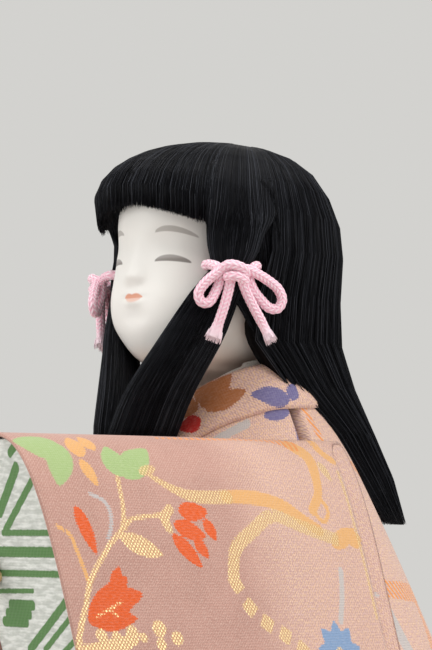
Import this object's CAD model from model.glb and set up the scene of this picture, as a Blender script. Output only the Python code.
import math

import bpy
import numpy as np
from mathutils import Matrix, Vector


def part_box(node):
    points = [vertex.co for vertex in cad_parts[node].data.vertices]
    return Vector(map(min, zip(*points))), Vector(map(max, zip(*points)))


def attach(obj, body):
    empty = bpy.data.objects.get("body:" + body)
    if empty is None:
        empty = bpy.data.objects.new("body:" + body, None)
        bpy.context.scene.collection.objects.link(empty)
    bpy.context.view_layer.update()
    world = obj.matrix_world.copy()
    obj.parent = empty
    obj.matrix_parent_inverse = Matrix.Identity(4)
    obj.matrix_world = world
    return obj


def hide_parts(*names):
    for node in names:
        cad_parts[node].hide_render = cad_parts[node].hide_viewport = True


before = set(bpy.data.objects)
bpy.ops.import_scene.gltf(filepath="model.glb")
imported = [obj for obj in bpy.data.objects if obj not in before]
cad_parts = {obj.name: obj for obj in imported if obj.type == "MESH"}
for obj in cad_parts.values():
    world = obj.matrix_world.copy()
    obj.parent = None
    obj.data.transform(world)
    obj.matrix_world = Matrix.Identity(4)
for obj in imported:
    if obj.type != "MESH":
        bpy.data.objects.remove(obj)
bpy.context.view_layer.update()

# View
# The doll is seen from its left front through a long lens, a little below its eyes.
MM = 0.001
neck_low, neck_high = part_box("neck_stick")
NECK = np.array([(neck_low[0] + neck_high[0]) / 2, (neck_low[1] + neck_high[1]) / 2, 0.0]) / MM
VIEW_AZIMUTH = math.radians(60)
VIEW_ELEVATION = math.radians(-3.5)
VIEW_DISTANCE = 600
VIEW_HEIGHT = 131.9
VIEW_SHIFT = -1.96
PIXELS_PER_MM = 5.6
PHOTO_HEIGHT = 650
SENSOR = 36

view_side = Vector((math.cos(VIEW_AZIMUTH), math.sin(VIEW_AZIMUTH), 0))
view_back = Vector((math.sin(VIEW_AZIMUTH) * math.cos(VIEW_ELEVATION),
                    -math.cos(VIEW_AZIMUTH) * math.cos(VIEW_ELEVATION), math.sin(VIEW_ELEVATION)))
view_target = Vector((NECK[0], NECK[1], VIEW_HEIGHT)) + view_side * VIEW_SHIFT
camera_data = bpy.data.cameras.new("camera")
camera_data.sensor_fit = "VERTICAL"
camera_data.sensor_height = SENSOR
camera_data.lens = SENSOR * VIEW_DISTANCE * PIXELS_PER_MM / PHOTO_HEIGHT
camera_data.clip_start = 0.01
camera = bpy.data.objects.new("camera", camera_data)
camera.location = (view_target + view_back * VIEW_DISTANCE) * MM
camera.rotation_euler = view_back.to_track_quat("Z", "Y").to_euler()
bpy.context.collection.objects.link(camera)
bpy.context.scene.camera = camera

# Studio
# A plain pale floor under a soft overhead light, with a weaker light on the far side.
STUDIO_GREY = (0.651, 0.645, 0.624)


def soft_light(name, place, target, power, size, color=(1, 1, 1)):
    data = bpy.data.lights.new(name, "AREA")
    data.energy = power
    data.size = size
    data.color = color
    lamp = bpy.data.objects.new(name, data)
    lamp.location = place
    lamp.rotation_euler = (Vector(place) - Vector(target)).to_track_quat("Z", "Y").to_euler()
    bpy.context.collection.objects.link(lamp)


soft_light("top_light", (0.1, -0.1, 0.95), (0, 0, 0.12), 7.1, 0.7)
soft_light("left_light", (-0.3, -0.8, 0.28), (0, 0, 0.13), 2.9, 0.5)
soft_light("back_light", (0.75, 0.5, 0.4), (0, 0, 0.12), 3.6, 0.5)

SKY_STRENGTH = 0.5
world = bpy.data.worlds.new("studio")
bpy.context.scene.world = world
world.use_nodes = True
world_nodes = world.node_tree.nodes
world_nodes.clear()
WORLD_KINDS = ("OutputWorld", "MixShader", "Background", "Background", "LightPath", "Math", "Math")
world_out, world_mix, world_light, world_seen, world_ray, *world_either = [
    world_nodes.new("ShaderNode" + kind) for kind in WORLD_KINDS]
world_light.inputs["Color"].default_value = (1, 1, 1, 1)
world_light.inputs["Strength"].default_value = SKY_STRENGTH
world_seen.inputs["Color"].default_value = (*STUDIO_GREY, 1)
world_seen.inputs["Strength"].default_value = 1
# Cameras, reflections and clear things see the grey backdrop, and all else is lit by the white sky
seen = world_ray.outputs["Is Camera Ray"]
for either, ray in zip(world_either, ("Is Glossy Ray", "Is Transmission Ray")):
    either.operation = "MAXIMUM"
    world.node_tree.links.new(seen, either.inputs[0])
    world.node_tree.links.new(world_ray.outputs[ray], either.inputs[1])
    seen = either.outputs[0]
for source, socket in ((seen, world_mix.inputs["Fac"]), (world_light.outputs[0], world_mix.inputs[1]),
                       (world_seen.outputs[0], world_mix.inputs[2]),
                       (world_mix.outputs[0], world_out.inputs["Surface"])):
    world.node_tree.links.new(source, socket)
bpy.context.scene.view_settings.view_transform = "Standard"


class Shade:
    """A socket of a material, so that its maths reads as a sum. Each operation adds a Math node."""

    def __init__(self, finish, socket):
        self.finish = finish
        self.socket = socket

    def math(self, operation, *others):
        return self.finish.node("ShaderNodeMath", {"operation": operation}, self, *others)

    def __add__(self, other):
        return self.math("ADD", other)

    def __sub__(self, other):
        return self.math("SUBTRACT", other)

    def __mul__(self, other):
        return self.math("MULTIPLY", other)

    def __truediv__(self, other):
        return self.math("DIVIDE", other)

    def __rsub__(self, other):
        return self.finish.node("ShaderNodeMath", {"operation": "SUBTRACT"}, other, self)

    __radd__ = __add__
    __rmul__ = __mul__

    def power(self, other):
        return self.math("POWER", other)

    def sine(self):
        return self.math("SINE")

    def least(self, other):
        return self.math("MINIMUM", other)

    def most(self, other):
        return self.math("MAXIMUM", other)

    def step(self, low, high):
        """From 0 at low to 1 at high."""
        return self.finish.node("ShaderNodeMapRange", {"interpolation_type": "SMOOTHSTEP"}, self, low, high)


class Finish:
    """A material with one Principled shader, and the nodes that feed it."""

    def __init__(self, name):
        self.material = bpy.data.materials.new(name)
        self.material.use_nodes = True
        self.tree = self.material.node_tree
        self.shader = self.tree.nodes["Principled BSDF"]

    def join(self, value, socket):
        if isinstance(value, Shade):
            self.tree.links.new(value.socket, socket)
        elif isinstance(value, tuple) and len(value) == 3 and len(getattr(socket, "default_value", ())) == 4:
            socket.default_value = (*value, 1)
        else:
            socket.default_value = value

    def node(self, kind, settings=None, *values, out=0, **named):
        node = self.tree.nodes.new(kind)
        for key, value in (settings or {}).items():
            setattr(node, key, value)
        for value, socket in zip(values, node.inputs):
            self.join(value, socket)
        for key, value in named.items():
            self.join(value, node.inputs[key])
        return Shade(self, node.outputs[out])

    def place(self):
        """Object coordinates in millimetres."""
        here = self.node("ShaderNodeTexCoord", out="Object")
        return self.node("ShaderNodeVectorMath", {"operation": "SCALE"}, here, Scale=1 / MM)

    def stretched_grain(self, uv, scale, detail=2):
        """A grain on a UV map in millimetres, with its own scale along each axis."""
        return self.grain(1, detail, self.node("ShaderNodeMapping", None, uv, Scale=scale))

    def split(self, vector):
        node = self.tree.nodes.new("ShaderNodeSeparateXYZ")
        self.join(vector, node.inputs[0])
        return [Shade(self, node.outputs[i]) for i in range(3)]

    def grain(self, scale, detail=2, at=None):
        return self.node("ShaderNodeTexNoise", {"noise_dimensions": "3D"}, Vector=at or self.place(),
                         Scale=scale, Detail=detail, Roughness=0.5)

    def attribute(self, name, out="Fac"):
        return self.node("ShaderNodeAttribute", {"attribute_name": name}, out=out)

    def blend(self, share, first, second):
        node = self.tree.nodes.new("ShaderNodeMix")
        node.data_type = "RGBA"
        self.join(share, node.inputs[0])
        self.join(first, node.inputs[6])
        self.join(second, node.inputs[7])
        return Shade(self, node.outputs[2])

    def raised(self, height, distance, strength=1.0):
        """A normal bent by a height. The distance is in millimetres."""
        return self.node("ShaderNodeBump", None, Strength=strength, Distance=distance * MM, Height=height)

    def set(self, **named):
        for key, value in named.items():
            self.join(value, self.shader.inputs[key.replace("_", " ").title().replace("Ior", "IOR")])
        return self.material


floor_finish = Finish("studio_floor")
floor_finish.set(base_color=(0.62, 0.615, 0.6), roughness=0.9, specular_ior_level=0.1)
bpy.ops.object.select_all(action="DESELECT")
bpy.ops.mesh.primitive_circle_add(vertices=96, radius=1.1, fill_type="NGON", location=(0, 0, -0.0002))
bpy.ops.object.transform_apply(location=True)
floor = bpy.context.object
floor.name = "studio_floor"
floor.data.materials.append(floor_finish.material)

# Head
# Pressed compound coated with shell white in many thin layers, then polished. The neck is one piece with the
# head, and the brows, eyes and mouth are brushed on in thinned ink and red.
HEAD_TURN = math.radians(10)
HEAD_FORWARD = 3
EYE_HEIGHT = 143.5


def in_head(points):
    """Points in the head's own frame, in millimetres from its axis and eye level, as metres in the doll's."""
    points = np.asarray(points, dtype=float)
    x, y, z = points[..., 0], points[..., 1] - HEAD_FORWARD, points[..., 2]
    turned = np.stack([x * math.cos(HEAD_TURN) - y * math.sin(HEAD_TURN),
                       x * math.sin(HEAD_TURN) + y * math.cos(HEAD_TURN), z + EYE_HEIGHT], axis=-1)
    return (turned + NECK) * MM


def through(stations, places):
    """A smooth curve through [place, value] stations, held flat beyond its ends."""
    at = np.array([s[0] for s in stations], dtype=float)
    value = np.array([s[1] for s in stations], dtype=float)
    slope = np.empty_like(value)
    slope[1:-1] = (value[2:] - value[:-2]) / (at[2:] - at[:-2])
    slope[0] = (value[1] - value[0]) / (at[1] - at[0])
    slope[-1] = (value[-1] - value[-2]) / (at[-1] - at[-2])
    places = np.clip(np.asarray(places, dtype=float), at[0], at[-1])
    i = np.clip(np.searchsorted(at, places, side="right") - 1, 0, len(at) - 2)
    width = at[i + 1] - at[i]
    t = (places - at[i]) / width
    rise = t * t * (3 - 2 * t)
    bend = slope[i] * (t - 2 * t * t + t ** 3) + slope[i + 1] * (t ** 3 - t * t)
    return value[i] * (1 - rise) + value[i + 1] * rise + width * bend


def rounded(value, power):
    return np.sign(value) * np.abs(value) ** power


def eased(share):
    return share * share * (3 - 2 * share)


def piece(name, points, faces):
    """A smooth mesh object at the origin, from points in metres."""
    mesh = bpy.data.meshes.new(name)
    mesh.from_pydata([tuple(p) for p in np.asarray(points).reshape(-1, 3)], [],
                     [tuple(int(i) for i in f) for f in faces])
    mesh.update()
    thing = bpy.data.objects.new(name, mesh)
    bpy.context.collection.objects.link(thing)
    mesh.polygons.foreach_set("use_smooth", [True] * len(mesh.polygons))
    return thing


def store(thing, name, values):
    """Keeps a value of each point of a piece, for its material to read."""
    thing.data.attributes.new(name, "FLOAT", "POINT").data.foreach_set("value", values)


def map_points(thing, name, places):
    """A UV map from one place for each point of a grid, and the same again for a second grid behind it."""
    places = np.reshape(places, (-1, 2)).astype(float)
    corner = np.array([loop.vertex_index for loop in thing.data.loops])
    thing.data.uv_layers.new(name=name).data.foreach_set("uv", places[corner % len(places)].ravel())


def grid_faces(rows, columns, closed=False, first=0):
    """Quads over a grid of points. Closed joins each row's end to its start."""
    r = np.arange(rows - 1)[:, None]
    c = np.arange(columns if closed else columns - 1)[None, :]
    following = (c + 1) % columns
    low, high = r * columns, (r + 1) * columns
    return np.stack([low + c, low + following, high + following, high + c], axis=-1).reshape(-1, 4) + first


def select_only(thing):
    bpy.ops.object.select_all(action="DESELECT")
    thing.select_set(True)
    bpy.context.view_layer.objects.active = thing


def merged(thing, distance):
    """Joins the points of a piece that lie together and turns its faces outward."""
    select_only(thing)
    bpy.ops.object.mode_set(mode="EDIT")
    bpy.ops.mesh.select_all(action="SELECT")
    bpy.ops.mesh.remove_doubles(threshold=distance)
    bpy.ops.mesh.normals_make_consistent(inside=False)
    bpy.ops.object.mode_set(mode="OBJECT")


def fit(thing, node, body, finish):
    """Gives a piece its material, the solid it stands for, its body and its material's kind."""
    thing.data.materials.append(finish.material)
    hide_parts(node)
    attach(thing, body)


HEAD_TOP = 19.2
NECK_FOOT = -43.6
# [height, half width, front, back, squareness]
HEAD_STATIONS = [
    [-43.6, 8.6, 5.6, 11.6, 1.0], [-35.6, 8.6, 5.6, 11.6, 1.0], [-29, 7.7, 4.7, 10.7, 1.0],
    [-23, 7.4, 4.4, 10.4, 1.0], [-20.8, 7.6, 7.6, 10.4, 1.0], [-19.6, 7.2, 12.9, 10.8, 0.97],
    [-18, 9.0, 15.4, 11.5, 0.9], [-15, 11.7, 17.1, 12.5, 0.82], [-12, 13.5, 18.2, 13.4, 0.8],
    [-8.5, 14.4, 18.4, 14.6, 0.8], [-4, 14.3, 17.9, 15.4, 0.82], [1, 14.1, 17.6, 16, 0.86],
    [6, 13.9, 17.8, 16.4, 0.88], [10, 13.4, 17.2, 15.6, 0.9], [14, 11.6, 14.8, 13.6, 0.9],
    [17, 8.2, 10.4, 10, 0.9], [18.6, 4.6, 5.8, 5.8, 0.95], [19.2, 0.02, 0.02, 0.02, 1.0],
]


def head_station(index, height):
    return through([(s[0], s[index]) for s in HEAD_STATIONS], height)


def face_relief(x, z):
    """How far the face stands out at a place across and up, in millimetres."""
    def swell(x0, z0, wide, tall, high):
        return high * np.exp(-((x - x0) / wide) ** 2 - ((z - z0) / tall) ** 2)

    def pair(x0, z0, wide, tall, high):
        return swell(x0, z0, wide, tall, high) + swell(-x0, z0, wide, tall, high)

    bridge = np.exp(-(x / (1.9 + 0.12 * (2 - z).clip(0, 7))) ** 2)
    length = np.clip((4.5 - z) / 8.2, 0, 1) ** 1.5 * (1 / (1 + np.exp((-4.8 - z) * 2.2)))
    nose = 1.2 * bridge * length + pair(1.6, -4.0, 1.2, 1.1, 0.22)
    lips = swell(0, -6.9, 2.4, 0.75, 0.45) + swell(0, -8.4, 1.9, 0.8, 0.5) - swell(0, -7.65, 2.5, 0.28, 0.28)
    sockets = pair(5.6, 1.8, 3.4, 2.6, -0.4) + pair(6.4, -0.2, 3.0, 1.3, 0.18)
    chin = swell(0, -14.8, 4.0, 2.6, 0.6) - swell(0, -11, 3.4, 1.2, 0.22)
    return nose + lips + sockets + chin + pair(7.6, -6.2, 3.8, 4.2, 0.3)


bpy.ops.object.select_all(action="DESELECT")
bpy.ops.mesh.primitive_uv_sphere_add(segments=160, ring_count=150, radius=1)
head = bpy.context.object
head.name = "head_face"
shape = np.array([v.co[:] for v in head.data.vertices])
level = np.arccos(np.clip(shape[:, 2], -1, 1)) / math.pi
height = HEAD_TOP - (HEAD_TOP - NECK_FOOT) * level
height = np.where(level > 0.999, NECK_FOOT, height)
turn = np.arctan2(shape[:, 0], -shape[:, 1])
half_width, front, back, squareness = (head_station(i, height) for i in (1, 2, 3, 4))
pole = (level < 0.001) | (level > 0.999)
x = half_width * rounded(np.sin(turn), squareness)
y = (back - front) / 2 - (back + front) / 2 * rounded(np.cos(turn), squareness)
ahead = np.clip((-y - 4) / 8, 0, 1)
y = np.where(pole, HEAD_FORWARD * (level > 0.5), y - face_relief(x, height) * eased(ahead))
x = np.where(pole, 0, x)
head.data.vertices.foreach_set("co", in_head(np.stack([x, y, height], axis=-1)).ravel())
head.data.update()
select_only(head)
bpy.ops.object.shade_smooth()
for name, values in (("across", x), ("up", height), ("ahead", ahead)):
    store(head, name, values)

shell_white = Finish("shell_white")
across = shell_white.attribute("across")
up = shell_white.attribute("up")
facing = shell_white.attribute("ahead")
side = across.math("ABSOLUTE")
BARE = (0.82, 0.792, 0.742)
LIP_LINE = -7.55
LIP_HALF_WIDTH = 2.5


def crescent(inner, outer, low, high, droop, thin):
    """A brushed arc from its inner to its outer end: 1 inside it and 0 outside."""
    share = (side - inner) / (outer - inner)
    crest = (share * (1 - share) * 4).most(0)
    foot = low - share * share * droop
    top = crest.power(0.62) * (high - low) + foot
    bottom = crest * thin + foot
    ends = share.step(-0.01, 0.05) * (1 - share.step(0.96, 1.01))
    return (top - up).step(-0.12, 0.14) * (up - bottom).step(-0.1, 0.1) * ends


brow = crescent(4.2, 11.0, 3.5, 4.9, 1.15, 0.35) * facing.step(0.2, 0.6)
eye = crescent(4.4, 10.5, -1.55, -0.3, 0.5, 0.1) * facing.step(0.2, 0.6)
lash = eye * (-1.0 - up).step(-0.3, 0.35)
lip_share = side / LIP_HALF_WIDTH
lip_bow = (1 - lip_share) * 0.45 + (lip_share * 3.1).sine() * 0.4 + LIP_LINE
upper_lip = (lip_bow - up).step(-0.15, 0.2) * (up - LIP_LINE + 0.17).step(-0.1, 0.1)
upper_lip = upper_lip * (1 - lip_share.step(0.9, 1.02))
lower_lip = (up + 8.45 - lip_share * lip_share * 0.8).step(-0.25, 0.25)
lower_lip = lower_lip * (LIP_LINE - 0.13 - up).step(-0.05, 0.1) * (1 - lip_share.step(0.7, 0.95))
red = (upper_lip + lower_lip * 0.6).least(1) * facing.step(0.3, 0.7)
under_chin = (-15 - up).step(0, 5)
skin = shell_white.blend(shell_white.grain(0.05, 2).step(0.35, 0.65) * 0.35, BARE, (0.80, 0.77, 0.725))
for share, tint in (
        (under_chin * 0.85, (0.93, 0.72, 0.60)), (brow * 0.62, (0.27, 0.235, 0.205)),
        ((eye * 0.66 + lash * 0.2).least(1), (0.16, 0.135, 0.12)), (red * 0.8, (0.74, 0.24, 0.10))):
    skin = shell_white.blend(share, skin, tint)
fine = shell_white.grain(0.9, 3)
shell_white.set(base_color=skin, roughness=0.42 + 0.1 * fine, normal=shell_white.raised(fine, 0.02, 0.35),
                specular_ior_level=0.35, subsurface_weight=0.0, coat_weight=0.05)
fit(head, "head", "head", shell_white)

# Crown and long fall of hair
# Silk threads glued in rows from the whorl on the crown, combed down and cut off straight at the end. A
# closed body of packed threads carries thousands of single threads.
WHORL = np.array([0.0, 6.8])
CROWN_RISE = 20.3
HAIR_HALF_WIDTH = 19.2
HAIR_FRONT = 22.6
HAIR_BACK = 23.4
SIDE_START = 86
HAIR_END = -47.2
SQUARE = 0.82
TUFT_TURN = 3.4
THREAD_RADIUS = 0.055
DOME_SHARE = [(0, 0), (0.15, 0.27), (0.32, 0.52), (0.5, 0.72), (0.66, 0.87), (0.82, 0.97), (1, 1)]
BACK_RISE = [(0, 1), (0.15, 0.955), (0.32, 0.855), (0.5, 0.715), (0.66, 0.51), (0.82, 0.27), (1, 0)]
FRONT_RISE = [(0, 1), (0.15, 1.01), (0.32, 0.98), (0.5, 0.89), (0.66, 0.745), (0.82, 0.5), (1, 0)]
# [height, edge out, edge back, back]
FALL_STATIONS = [
    [0, 19.2, -3.0, 23.4], [-7, 18.6, -4.4, 23.3], [-14.3, 17.2, -4.9, 24.2], [-22.7, 16.4, 3.0, 27.2],
    [-30.7, 15.6, 13.6, 31.4], [-37.5, 14.9, 20.0, 35.4], [-47.2, 13.8, 29.0, 38.4],
]
fray = np.random.default_rng(7)


def scattered(count, low=0.0, high=1.0):
    """A column of even random draws."""
    return fray.uniform(low, high, count)[:, None]


def strayed(count, spread):
    """A column of random draws near 0."""
    return fray.normal(0, spread, count)[:, None]


def alike(*values):
    return np.broadcast_arrays(*(np.asarray(v, float) for v in values))


def read_off(stations, height):
    """The values of a table of stations, whose first column is a height that falls from row to row."""
    height = -np.asarray(height, float)
    return [through([(-s[0], s[i]) for s in stations], height) for i in range(1, len(stations[0]))]


def crown_base(turn):
    """Where a thread from the whorl reaches the level of the eyes, by its turn from the front to the left."""
    angle = np.radians(turn)
    depth = np.where(np.cos(angle) > 0, HAIR_FRONT, HAIR_BACK)
    across = HAIR_HALF_WIDTH * rounded(np.sin(angle), SQUARE)
    return np.stack([across, -depth * rounded(np.cos(angle), SQUARE)], axis=-1)


def fall_point(turn, height):
    """The outside of the long hair at a turn from SIDE_START to 180 and a height below the eyes."""
    share = (180 - np.asarray(turn, dtype=float)) / (180 - SIDE_START)
    angle = np.radians(90 * share)
    out, edge, back = read_off(FALL_STATIONS, height)
    return out * rounded(np.sin(angle), SQUARE), edge + (back - edge) * rounded(np.cos(angle), SQUARE)


def crown_rise(turn, share):
    """The crown's share of its full height. It is fuller over the forehead than behind."""
    front, back = through(FRONT_RISE, share), through(BACK_RISE, share)
    return back + (front - back) * (0.5 + 0.5 * np.cos(np.radians(turn)))


def share_at(turn, height):
    """How far down from the whorl a thread of the crown is at a height above the eyes."""
    turn, height = alike(turn, height)
    above, below = np.full(turn.shape, 0.2), np.ones(turn.shape)
    for _ in range(18):
        middle = (above + below) / 2
        higher = CROWN_RISE * crown_rise(turn, middle) > height
        above, below = np.where(higher, middle, above), np.where(higher, below, middle)
    return (above + below) / 2


def crown_point(turn, share, lift=0.0):
    """A point on the combed crown, from the whorl at share 0 to the level of the eyes at share 1."""
    turn, share, lift = alike(turn, share, lift)
    base = crown_base(turn)
    behind = np.cos(np.radians(turn)) < math.cos(math.radians(SIDE_START))
    back_x, back_y = fall_point(np.where(turn > 180, 360 - turn, turn), np.zeros_like(turn))
    back = np.stack([np.where(turn > 180, -back_x, back_x), back_y], axis=-1)
    base = np.where(behind[..., None], back, base)
    spread = through(DOME_SHARE, share)
    flat = WHORL + (base - WHORL) * spread[..., None]
    dip = 1.0 * np.exp(-(spread / 0.16) ** 2)
    out = flat / np.maximum(np.hypot(flat[..., 0], flat[..., 1] * 0.85), 1e-6)[..., None]
    flat = flat + out * (lift * spread)[..., None]
    rise = (CROWN_RISE + lift * (1 - spread)) * crown_rise(turn, share) - dip
    return np.concatenate([flat, rise[..., None]], axis=-1)


def long_hair(turn, share, lift):
    """A point of the crown and fall: share 0 at the whorl, 1 at the eyes' level and 2 at the cut end."""
    turn, share, lift = alike(turn, share, lift)
    wrapped = np.where(turn > 180, 360 - turn, turn)
    side = np.where(turn > 180, -1.0, 1.0)
    over = crown_point(turn, np.minimum(share, 1), lift)
    height = HAIR_END * np.clip(share - 1, 0, 1)
    x, y = fall_point(wrapped, height)
    near = fall_point(np.minimum(wrapped + 1, 181), height)
    far = fall_point(np.maximum(wrapped - 1, SIDE_START), height)
    along = np.stack([near[0] - far[0], near[1] - far[1]], axis=-1)
    outward = np.stack([along[..., 1], -along[..., 0]], axis=-1)
    outward /= np.maximum(np.linalg.norm(outward, axis=-1), 1e-6)[..., None]
    hang = np.stack([(x + outward[..., 0] * lift) * side, y + outward[..., 1] * lift, height], axis=-1)
    return np.where((share > 1)[..., None], hang, over)


def threads(name, paths, radius=THREAD_RADIUS):
    """Thin three-sided tubes along paths of equal counts, in the head's frame. Each has its own shade."""
    paths = in_head(paths)
    count, steps, _ = paths.shape
    along = np.gradient(paths, axis=1)
    along /= np.maximum(np.linalg.norm(along, axis=-1), 1e-9)[..., None]
    aside = np.cross(along, np.array([0.31, 0.52, 0.79]))
    aside /= np.linalg.norm(aside, axis=-1)[..., None]
    third = np.cross(along, aside)
    taper = np.interp(np.linspace(0, 1, steps), [0, 0.08, 0.93, 1], [0.35, 1, 1, 0.45]) * radius * MM
    spin = fray.uniform(0, math.tau, count)[:, None, None]
    rings = [paths + taper[None, :, None] * (aside * np.cos(spin + a) + third * np.sin(spin + a))
             for a in (0, math.tau / 3, 2 * math.tau / 3)]
    points = np.stack(rings, axis=2).reshape(-1, 3)
    ends = np.array([[2, 1, 0]]), np.array([[0, 1, 2]]) + (steps - 1) * 3
    offsets = (np.arange(count) * steps * 3)[:, None, None]
    quads = (grid_faces(steps, 3, closed=True)[None] + offsets).reshape(-1, 4)
    caps = np.concatenate([(e[None] + offsets).reshape(-1, 3) for e in ends])
    mesh = bpy.data.meshes.new(name)
    mesh.vertices.add(len(points))
    mesh.vertices.foreach_set("co", points.ravel())
    loops = np.concatenate([quads.ravel(), caps.ravel()])
    mesh.loops.add(len(loops))
    mesh.loops.foreach_set("vertex_index", loops)
    starts = np.concatenate([np.arange(len(quads)) * 4, len(quads) * 4 + np.arange(len(caps)) * 3])
    mesh.polygons.add(len(starts))
    mesh.polygons.foreach_set("loop_start", starts)
    mesh.polygons.foreach_set("use_smooth", np.arange(len(starts)) < len(quads))
    mesh.update(calc_edges=True)
    mesh.validate()
    tuft = bpy.data.objects.new(name, mesh)
    store(tuft, "shade", np.repeat(fray.uniform(0, 1, count), steps * 3))
    bpy.context.collection.objects.link(tuft)
    return tuft


thread_finish = Finish("black_silk_threads")
thread_shade = thread_finish.attribute("shade")
thread_tint = thread_finish.blend(thread_shade.power(3), (0.002, 0.002, 0.003), (0.010, 0.011, 0.015))
thread_tint = thread_finish.blend(thread_shade.power(11), thread_tint, (0.055, 0.058, 0.068))
thread_finish.set(base_color=thread_tint, roughness=0.3 + 0.3 * thread_shade, specular_ior_level=0.08)
packed_finish = Finish("packed_black_silk")
packed_uv = packed_finish.node("ShaderNodeTexCoord", out="UV")
packed_lines = packed_finish.stretched_grain(packed_uv, (4.2, 0.09, 1), 4)
packed_share = packed_lines.step(0.45, 0.8)
packed_tint = packed_finish.blend(packed_share, (0.0015, 0.0015, 0.002), (0.005, 0.0055, 0.007))
packed_finish.set(base_color=packed_tint, roughness=0.5, normal=packed_finish.raised(packed_lines, 0.25, 0.9),
                  specular_ior_level=0.06)


def packed_body(name, outside, inside, across, down):
    """A closed body of packed threads between an outer and an inner grid of points in the head's frame."""
    rows, columns = outside.shape[:2]
    points = np.concatenate([outside.reshape(-1, 3), inside.reshape(-1, 3)])
    under = rows * columns
    outer = grid_faces(rows, columns)
    inner = grid_faces(rows, columns, first=under)[:, ::-1]
    r = np.arange(rows - 1) * columns
    c = np.arange(columns - 1)
    last = columns - 1
    edges = [
        np.stack([r, r + columns, r + columns + under, r + under], axis=-1),
        np.stack([r + last + columns, r + last, r + last + under, r + last + columns + under], axis=-1),
        np.stack([c + 1, c, c + under, c + 1 + under], axis=-1),
        np.stack([c, c + 1, c + 1 + under, c + under], axis=-1) + (rows - 1) * columns,
    ]
    body = piece(name, in_head(points), np.concatenate([outer, inner, *edges]))
    map_points(body, "threads", np.stack(np.broadcast_arrays(across, down), axis=-1))
    merged(body, 0.00002)
    return body


def strands(name, paths, node):
    fit(threads(name, paths), node, "head", thread_finish)


back_turns = np.linspace(SIDE_START - 4, 364 - SIDE_START, 90)[None, :]
back_shares = np.concatenate([np.linspace(0.02, 1, 22), np.linspace(1.04, 1.965, 26)])[:, None]
body_turns = np.clip(back_turns, SIDE_START, 360 - SIDE_START)
hair_thickness = through([(0, 1.2), (0.5, 2.2), (1, 2.8), (1.3, 2.6), (1.7, 3.6), (2, 4.2)], back_shares)
hair_grids = [long_hair(body_turns, back_shares, lift) for lift in (-0.35, -0.35 - hair_thickness)]
hair_body = packed_body("hair_back_body", *hair_grids, back_turns * 0.36, back_shares * 24)
fit(hair_body, "hair_back", "head", packed_finish)


def combed(count, low, high):
    """Threads of the crown and fall between two turns, gathered into tufts, with an uneven cut end."""
    root = scattered(count, low, high)
    tuft = np.round(root / TUFT_TURN) * TUFT_TURN + strayed(count, 0.4)
    share = (2 - np.abs(strayed(count, 0.02))) * np.linspace(0, 1, 13)
    gather = 0.3 * np.clip(share - 0.4, 0, 1.2)
    wave = strayed(count, 0.55) * np.sin(share * scattered(count, 1.5, 4) + scattered(count, 0, 6))
    turn = np.clip(root + (tuft - root) * gather + wave, low - 1.5, high + 1.5)
    lift = -scattered(count) ** 1.5 * 0.55 + 0.25 * (scattered(count) > 0.93) * share
    return long_hair(turn, share, lift + 0.12)


for name, low, high, count in (("left", SIDE_START, 152, 2000), ("middle", 150, 212, 1700),
                               ("right", 208, 360 - SIDE_START, 2000)):
    strands(f"hair_back_{name}", combed(count, low, high), "hair_back")

# Fringe
# A thick straight-cut fringe that runs from the whorl over the forehead and stands clear of the face.
FRINGE_TURN = 54
FRINGE_RISE = 8.5
FRINGE_DROP = 3.1
FRINGE_THICKNESS = 3.6


def fringe_edge(x):
    return FRINGE_RISE - FRINGE_DROP * (x / 14.6) ** 2


def fringe_point(turn, share, lift=0.0):
    """A point of the fringe: share 0 at the whorl and 1 at the cut edge."""
    turn, share, lift = alike(turn, share, lift)
    base = crown_base(turn)
    point = crown_point(turn, share * share_at(turn, fringe_edge(base[..., 0])), lift)
    tuck = 1 - 0.07 * np.clip((share - 0.8) / 0.2, 0, 1) ** 2
    point[..., :2] *= tuck[..., None]
    return point


fringe_turns = np.linspace(-FRINGE_TURN, FRINGE_TURN, 70)[None, :]
fringe_shares = np.linspace(0.02, 0.985, 30)[:, None]
fringe_thickness = FRINGE_THICKNESS * through([(0, 0.3), (0.5, 0.75), (0.85, 0.95), (1, 0.9)], fringe_shares)
fringe_grids = [fringe_point(fringe_turns, fringe_shares, lift) for lift in (-0.3, -0.3 - fringe_thickness)]
fringe_body = packed_body("hair_fringe_body", *fringe_grids, fringe_turns * 0.36, fringe_shares * 24)
fit(fringe_body, "hair_fringe", "head", packed_finish)


def fringe_threads(count, deepest):
    root = scattered(count, -FRINGE_TURN, FRINGE_TURN)
    share = np.linspace(0, 1, 11) * (1 + strayed(count, 0.004))
    wave = strayed(count, 1.3) * np.sin(share * scattered(count, 1, 5) + scattered(count, 0, 6))
    return fringe_point(root + wave, share, 0.15 - scattered(count) ** 1.3 * deepest)


strands("hair_fringe_outer", fringe_threads(2100, 0.7), "hair_fringe")
strands("hair_fringe_inner", fringe_threads(1300, 3.6), "hair_fringe")

# Side locks
# The hair at each temple is gathered into a lock, tied at the cheek, and brought forward over the breast.
SIDES = (("left", 1), ("right", -1))
BOW_OUT = 16.8
BOW_FORWARD = 10.2
BOW_DROP = 2.7
WAIST_WIDTH = 6.4
WAIST_THICKNESS = 2.4
OUTWARD = np.array([math.sin(math.radians(58)), -math.cos(math.radians(58)), 0])
BACKWARD = np.array([-OUTWARD[1], OUTWARD[0], 0])
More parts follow.
